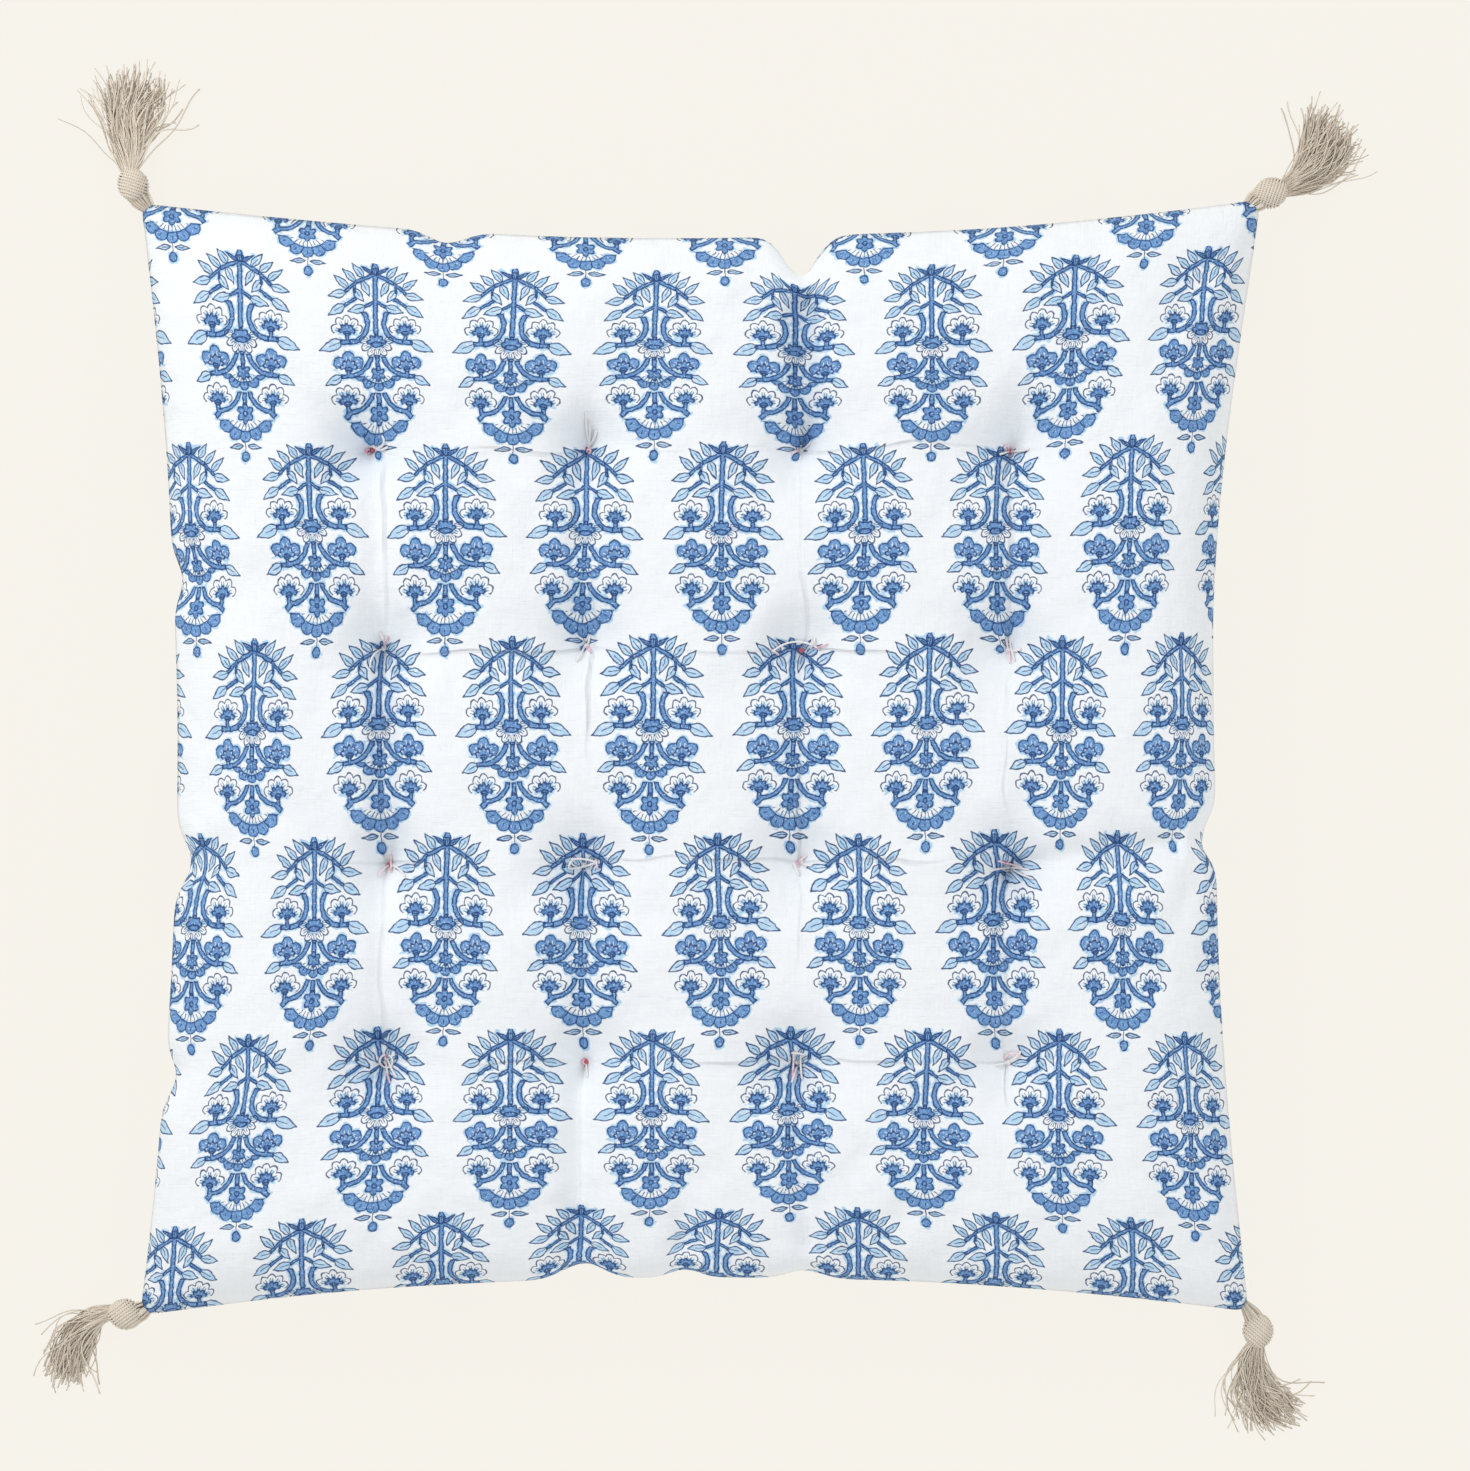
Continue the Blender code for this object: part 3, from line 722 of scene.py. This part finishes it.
def yarn(name, lines, paints, body, node, sides=6):
    """One piece of round yarns. Each line is a radius, which paint it takes, and its points."""
    bm = bmesh.new()
    for radius, paint, points in lines:
        rings = []
        normal = None
        for k, point in enumerate(points):
            ahead = (points[min(k + 1, len(points) - 1)] - points[max(k - 1, 0)]).normalized()
            normal = ahead.orthogonal() if normal is None else normal - ahead * normal.dot(ahead)
            normal.normalize()
            across = ahead.cross(normal)
            ring = []
            for turn in range(sides):
                angle = math.tau * turn / sides
                offset = normal * math.cos(angle) + across * math.sin(angle)
                ring.append(bm.verts.new(point + offset * radius))
            rings.append(ring)
        skin = [rings[0][::-1], rings[-1]]
        for one, two in zip(rings, rings[1:]):
            for k in range(sides):
                after = (k + 1) % sides
                skin.append((one[k], one[after], two[after], two[k]))
        for corners in skin:
            face = bm.faces.new(corners)
            face.smooth = True
            face.material_index = paint
    mesh = bpy.data.meshes.new(name)
    bm.to_mesh(mesh)
    bm.free()
    for paint in paints:
        mesh.materials.append(paint)
    piece = bpy.data.objects.new(name, mesh)
    scene.collection.objects.link(piece)
    if body:
        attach(piece, body)
    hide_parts(node)
    return piece


thread, shader = paint_of("white_thread")
twist = grain(Socket.node("ShaderNodeTexCoord", out=3), 900.0, 2.0)
finish_paint(shader, blended(twist, (0.80, 0.77, 0.76, 1), (0.93, 0.91, 0.90, 1)), 0.8, twist, 0.0003)
round_the_rim = [(k, 0) for k in range(CELLS)] + [(CELLS, k) for k in range(CELLS)]
round_the_rim += [(CELLS - x, CELLS - y) for x, y in round_the_rim]
stitches = []
for count, (i, j) in enumerate(round_the_rim):
    rim = grid[i, j, 0]
    inward = Vector((-rim.x, -rim.y, 0)).normalized()
    stitches.append(rim + inward * (0.007 if count % 2 else 0.010))
yarn("seam_thread", [(0.0004, 0, stitches)], [thread], "cushion", "seam_overlock")

# ---- Ties ---------------------------------------------------------------------------------
# Each tie is a doubled white thread, dyed pink in spots, that goes through the whole cushion, is
# knotted on top and is cut short. Every one is tied and has fallen differently.

TIE_STROKES = (  # x and y of the start, heading, length in mm, turn along it, and 1 where dyed
    (((0, 2, -50, 12, 190, 0), (-2, 0, 160, 4, 260, 1), (2, 0, -20, 7, 60, 0)),
     ((0, 0, 78, 15, 25, 0), (1, 0, 105, 19, -20, 0), (-1, 0, 48, 11, 25, 0), (0, -2, 0, 5, 300, 1)),
     ((-1, 0, 25, 8, 30, 0), (0, 1, 200, 6, 20, 1)),
     ((0, 0, -8, 10, 30, 0), (-1, 1, 60, 5, 280, 1), (0, 0, 200, 6, 0, 0))),
    (((0, 0, 80, 7, -30, 1), (0, 0, 200, 13, 80, 0), (1, 0, 95, 9, 30, 0)),
     ((-1, 0, 250, 9, -20, 0), (0, 1, 300, 5, 0, 1), (0, 0, 60, 6, 30, 0)),
     ((-15, -1, 42, 27, -84, 0), (8, 1, 15, 6, 20, 1), (-15, 0, -40, 4, 0, 1), (5, 1, 60, 6, 20, 0)),
     ((-1, 6, -78, 13, -10, 1), (1, 5, -84, 11, 12, 0), (0, 0, -15, 7, 50, 0))),
    (((1, 5, -97, 9, 20, 1), (0, 0, -10, 11, -50, 0), (0, 0, 215, 8, 20, 1)),
     ((-8, -2, 3, 15, 24, 0), (-7, 3, 7, 14, -30, 0), (-8, -2, 95, 5, -60, 0), (6, 3, -80, 5, 0, 1)),
     ((3, 4, 215, 9, 20, 1), (-4, 0, -65, 7, 0, 0), (0, 0, -30, 6, 40, 0)),
     ((-10, -2, 12, 21, -22, 0), (-5, 3, -15, 13, 0, 1), (2, -1, -35, 12, 20, 0))),
    (((0, 4, 200, 20, 330, 0), (0, 4, -88, 15, 18, 1), (1, 2, -70, 11, 20, 0)),
     ((0, 0, -95, 8, 20, 0), (-1, 1, 180, 5, 290, 1)),
     ((-2, 6, -88, 15, -12, 1), (2, 5, -95, 14, 16, 0), (-3, 5, 5, 7, -30, 0), (0, -2, 250, 9, 0, 0)),
     ((-3, -1, 18, 12, 40, 0), (-2, 2, 62, 10, -110, 1), (0, 0, 190, 7, 0, 0))),
)
dyed, shader = paint_of("dyed_thread")
spots = maths("MULTIPLY_ADD", grain(Socket.node("ShaderNodeTexCoord", out=3), 240.0), 5.0, -1.6, clamp=True)
finish_paint(shader, blended(spots, (0.78, 0.28, 0.36, 1), (0.90, 0.74, 0.78, 1)), 0.8, spots, 0.0002)
red, shader = paint_of("red_thread")
spots = grain(Socket.node("ShaderNodeTexCoord", out=3), 700.0)
finish_paint(shader, blended(spots, (0.55, 0.05, 0.10, 1), (0.80, 0.30, 0.36, 1)), 0.8, spots, 0.0002)
RED_KNOTS = ((0, 0), (0, 1), (0, 3), (1, 2), (2, 0), (3, 1))  # row and column
TAIL_RADIUS, KNOTTED_RADIUS = 0.00058, 0.0005  # of the thread, loose and pulled tight
STROKE_STEPS, BALL_STEPS, STITCH_STEPS = 16, 26, 12
STITCH_HALF = 0.003  # of the stitch that shows underneath
shapes = bpy.context.evaluated_depsgraph_get()
skins = {side: BVHTree.FromObject(panel, shapes) for side, panel in panels.items()}


def height(x, y, side="top"):
    """Height of the cover's top or underside at a place in the plan."""
    sign = 1 if side == "top" else -1
    hit = skins[side].ray_cast(Vector((x, y, sign)), Vector((0, 0, -sign)))[0]
    return hit.z if hit else 0.02


chance = random.Random(11)
for row in range(4):
    for column in range(4):
        x, y = TIE_ROWS[row][column]
        lines = []
        for start_x, start_y, heading, length, turn, colour in TIE_STROKES[row][column]:
            points = []
            at = Vector((x + start_x / 1000, y + start_y / 1000))
            for k in range(STROKE_STEPS + 1):
                share = k / STROKE_STEPS
                lift = 0.0006 + 0.0016 * math.sin(math.pi * share)
                points.append(Vector((*at, height(*at) + lift)))
                angle = math.radians(heading + turn * share)
                at += Vector((math.cos(angle), math.sin(angle))) * (length / 1000 / STROKE_STEPS)
            lines.append((TAIL_RADIUS, colour, points))
        top, under = height(x, y), height(x, y, "bottom")
        ball = []
        for k in range(BALL_STEPS):
            angle = k * 1.1
            out = 0.0011 * math.sin(math.pi * (k + 1) / (BALL_STEPS + 1))
            level = top + 0.0002 + k * 0.00007
            ball.append(Vector((x + out * math.cos(angle), y + out * math.sin(angle), level)))
        lines.append((KNOTTED_RADIUS, 2 if (row, column) in RED_KNOTS else 0, ball))
        through = []
        for k in range(STITCH_STEPS + 1):
            angle = math.pi * k / STITCH_STEPS
            deep = under - 0.0002 if 0 < k < STITCH_STEPS else top
            through.append(Vector((x, y - STITCH_HALF * math.cos(angle), max(0.0006, deep))))
        lines.append((KNOTTED_RADIUS, 0, through))
        node = f"tie_row{row + 1}_column{column + 1}"
        yarn(f"{node}_thread", lines, [thread, dyed, red], "cushion", node)

# ---- Tassels ------------------------------------------------------------------------------
# Greige linen yarn. A folded hank is caught in each corner seam, tied and wound round itself into
# a knot, and its cut ends fall in a loose skirt of fine yarns with some strays.

TASSELS = {  # heading where the skirt leaves the knot, bend, length, and half its spread (degrees)
    "back_left": (96, -10, 0.060, 24),
    "back_right": (26, 48, 0.054, 24),
    "front_right": (-106, 66, 0.053, 17),
    "front_left": (196, 68, 0.054, 15),
}
YARNS, LOCKS = 260, 14  # in a skirt, and how many locks they fall in
STRAY = 14  # one yarn in so many strays from its lock
NECK_YARNS, NECK_RADIUS, NECK_INSIDE = 54, 0.0058, 0.011
WINDINGS = (  # of the knot: radius, tilt, and turns, from the inside out
    (0.0070, 0.3, 12),
    (0.0075, 0.9, 11),
    (0.0079, -0.6, 9),
)
CORE_YARNS, CORE_RADIUS = 40, 0.0050  # inside the knot
YARN_STEPS, TURN_STEPS, SKIRT_STEPS = 8, 16, 13
linen, shader = paint_of("greige_linen")
each = Socket.node("ShaderNodeNewGeometry").other("Random Per Island")
streaks = grain(Socket.node("ShaderNodeTexCoord", out=3), 500.0, 3.0)
pale = blended(each, (0.62, 0.54, 0.44, 1), (0.85, 0.78, 0.68, 1))
finish_paint(shader, blended(streaks * 0.22, pale, (0.46, 0.38, 0.28, 1)), 0.85, streaks, 0.0001)
pivots = {joint["name"]: Vector(joint["pos_m"]) for joint in frame["joints"]}


def disc(radius):
    """A random place in a circle."""
    angle, out = chance.uniform(0, math.tau), radius * math.sqrt(chance.random())
    return out * math.cos(angle), out * math.sin(angle)


for corner, (heading, bend, length, spread) in TASSELS.items():
    swing, lift = pivots[f"swing_{corner}"], pivots[f"lift_{corner}"]
    along_knot = (lift - swing).normalized()
    beside_knot = Vector((-along_knot.y, along_knot.x, 0))
    outward = Vector((math.copysign(1, swing.x), math.copysign(1, swing.y), 0)).normalized()
    beside = Vector((-outward.y, outward.x, 0))
    up_axis = Vector((0, 0, 1))

    lines = []
    for _ in range(NECK_YARNS):
        sideways, upwards = disc(NECK_RADIUS)
        points = []
        for k in range(YARN_STEPS + 1):
            share = k / YARN_STEPS
            wide = min(1, 0.40 + share)
            place = swing - outward * NECK_INSIDE * (1 - share) + along_knot * 0.003 * share
            points.append(place + beside * sideways * wide + up_axis * upwards * wide * 0.8)
        lines.append((0.0006, 0, points))
    neck = yarn(f"{corner}_neck", lines, [linen], None, f"tassel_neck_{corner}")
    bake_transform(neck)

    middle = (swing + lift) / 2 - along_knot * 0.0004
    lines = []
    for radius, tilt, turns in WINDINGS:
        axis = (along_knot * math.cos(tilt) + beside_knot * math.sin(tilt)).normalized()
        flat_side = up_axis.cross(axis)
        points = []
        for k in range(turns * TURN_STEPS + 1):
            share = k / (turns * TURN_STEPS)
            angle = math.tau * turns * share
            level = 1.6 * share - 0.8
            ring = math.sqrt(1 - level * level)
            offset = flat_side * math.cos(angle) + up_axis * math.sin(angle)
            offset = offset * ring + axis * level
            offset += along_knot * offset.dot(along_knot) * 0.16
            points.append(middle + offset * radius)
        lines.append((0.00062, 0, points))
    for _ in range(CORE_YARNS):
        sideways, upwards = disc(CORE_RADIUS)
        low, high = middle - along_knot * 0.0060, middle + along_knot * 0.0062
        points = []
        for k in range(YARN_STEPS + 1):
            share = k / YARN_STEPS
            wide = 0.45 + 0.55 * math.sin(math.pi * share)
            offset = beside_knot * sideways * wide + up_axis * upwards * wide
            points.append(low.lerp(high, share) + offset)
        lines.append((0.0007, 0, points))
    yarn(f"{corner}_knot", lines, [linen], f"knot_{corner}", f"tassel_knot_{corner}", 5)

    lines = []
    locks = []
    for _ in range(LOCKS):
        lock = (chance.uniform(-1, 1), chance.uniform(0.80, 1.06), chance.uniform(8, 30))
        locks.append((*lock, chance.uniform(0, math.tau)))
    for count in range(YARNS):
        stray = count % STRAY == 0
        side_share, full, sway, phase = chance.choice(locks)
        side_share = max(-1.3, min(1.3, side_share + chance.gauss(0, 0.11)))
        angle = heading + side_share * spread * (1.7 if stray else 1)
        curve = bend - side_share * spread * 0.5 + chance.gauss(0, 32 if stray else 13)
        reach = length * full * chance.uniform(0.82, 1.04)
        sway, phase = sway * chance.uniform(0.7, 1.4), phase + chance.gauss(0, 0.6)
        sideways, upwards = disc(0.0038)
        at = lift - along_knot * 0.003 + beside_knot * sideways
        rest = 0.0008 + abs(chance.gauss(0, 0.0028)) * (1 - 0.5 * abs(side_share))
        points = []
        for k in range(SKIRT_STEPS + 1):
            share = k / SKIRT_STEPS
            fall = (1 - share) ** 2.2
            points.append(Vector((at.x, at.y, rest + (lift.z + upwards - rest) * fall)))
            wave = sway * math.sin(phase + share * 8) * min(1, 2 * share)
            way = math.radians(angle + curve * share + wave)
            at += Vector((math.cos(way), math.sin(way), 0)) * (reach / SKIRT_STEPS)
        lines.append((chance.uniform(0.00026, 0.00046), 0, points))
    yarn(f"{corner}_skirt", lines, [linen], f"skirt_{corner}", f"tassel_skirt_{corner}", 4)
